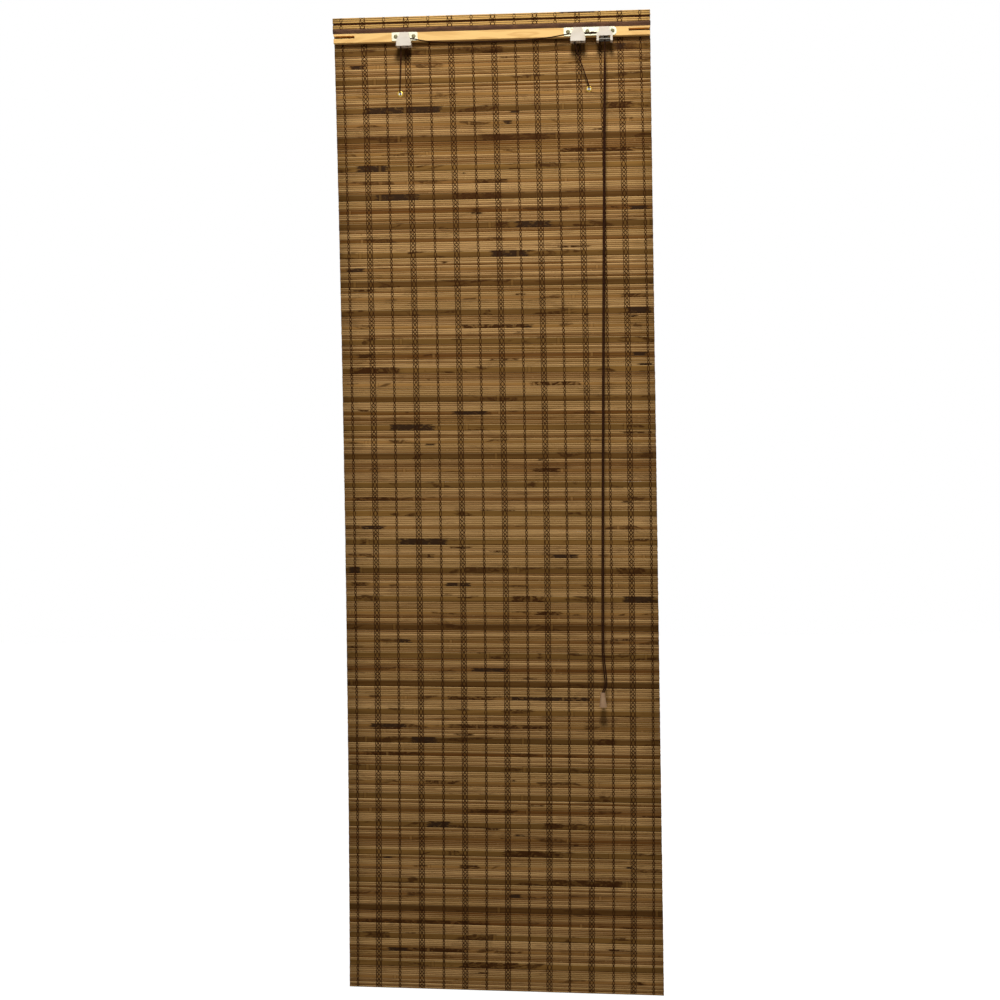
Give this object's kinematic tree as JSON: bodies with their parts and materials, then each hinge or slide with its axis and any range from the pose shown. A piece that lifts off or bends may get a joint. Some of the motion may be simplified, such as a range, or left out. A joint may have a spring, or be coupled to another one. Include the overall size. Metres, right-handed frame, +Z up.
{
  "type": "bamboo blind",
  "caption": "Hanging bamboo reed blind on a wood headrail, raised by two cords through guide pulleys and a cord lock, with a bell pull.",
  "frame": {"origin": "midway between the two bracket slots in the ends of the headrail, at the headrail's mid depth", "axes": "+X to the right and +Z up seen from the side with the hardware, which faces -Y"},
  "size_m": [0.6, 0.0436, 1.8507],
  "materials": {
    "reeds": "split bamboo, satin",
    "yarn": "twisted dark brown yarn",
    "rail_wood": "planed pale wood, unlacquered",
    "tape": "woven brown tape",
    "zinc": "bright zinc plate",
    "steel": "plain steel pin",
    "white_plastic": "moulded, fine texture",
    "pulley_plastic": "moulded, smooth",
    "brass": "bright pressed brass",
    "cord": "round braided cord, dark brown",
    "ring_plastic": "small moulded ring",
    "batten_wood": "planed pale wood",
    "bell_plastic": "beige moulding"
  },
  "bodies": {
    "blind": {"shade_mat": "reeds", "front_yarn_chains": "yarn", "rear_yarn_chains": "yarn", "head_mat_band": "reeds", "head_band_yarns": "yarn", "binding_tape": "tape", "headrail": "rail_wood", "left_rail_end": "rail_wood", "right_rail_end": "rail_wood", "mat_staples": "zinc", "left_guide_plate": "zinc", "right_plate": "zinc", "left_plate_screws": "zinc", "right_plate_screws": "zinc", "left_guide_hood": "white_plastic", "right_guide_hood": "white_plastic", "left_guide_axle": "steel", "right_guide_axle": "steel", "lock_housing": "white_plastic", "lock_pulley_axle": "steel", "lock_front_pin": "steel", "left_eyelet": "brass", "right_eyelet": "brass", "left_eyelet_washer": "brass", "right_eyelet_washer": "brass", "left_lift_rings": "ring_plastic", "right_lift_rings": "ring_plastic", "left_ring_ties": "yarn", "right_ring_ties": "yarn", "bottom_batten": "batten_wood", "batten_straps": "yarn", "left_lift_cord": "cord", "right_lift_cord": "cord", "left_stop_knot": "cord", "right_stop_knot": "cord", "left_pull_cord": "cord", "right_pull_cord": "cord", "pull_tassel": "bell_plastic", "tassel_knot": "cord"},
    "left_pulley": {"left_guide_pulley": "pulley_plastic"},
    "right_pulley": {"right_guide_pulley": "pulley_plastic"},
    "lock_wheel": {"lock_pulley": "pulley_plastic"},
    "front_roller": {"lock_front_roller": "pulley_plastic"},
    "grip_pin": {"lock_grip_pin": "steel"},
    "grip_roller": {"lock_grip_roller": "steel"}
  },
  "joints": [
    {"name": "left_pulley_turn", "type": "hinge", "parent": "blind", "child": "left_pulley", "pos_m": [-0.164, -0.0165, -0.0138], "axis": [0, 1, 0], "continuous": true},
    {"name": "right_pulley_turn", "type": "hinge", "parent": "blind", "child": "right_pulley", "pos_m": [0.1635, -0.0165, -0.0138], "axis": [0, 1, 0], "continuous": true},
    {"name": "lock_wheel_turn", "type": "hinge", "parent": "blind", "child": "lock_wheel", "pos_m": [0.2093, -0.0165, -0.0117], "axis": [0, 1, 0], "continuous": true},
    {"name": "front_roller_turn", "type": "hinge", "parent": "blind", "child": "front_roller", "pos_m": [0.2135, -0.0232, -0.0205], "axis": [1, 0, 0], "continuous": true},
    {"name": "grip_pin_lift", "type": "slide", "parent": "blind", "child": "grip_pin", "axis": [0, 0, 1], "range_m": [0, 0.0035]},
    {"name": "grip_roller_turn", "type": "hinge", "parent": "grip_pin", "child": "grip_roller", "pos_m": [0.2135, -0.0097, -0.0205], "axis": [1, 0, 0], "continuous": true}
  ]
}
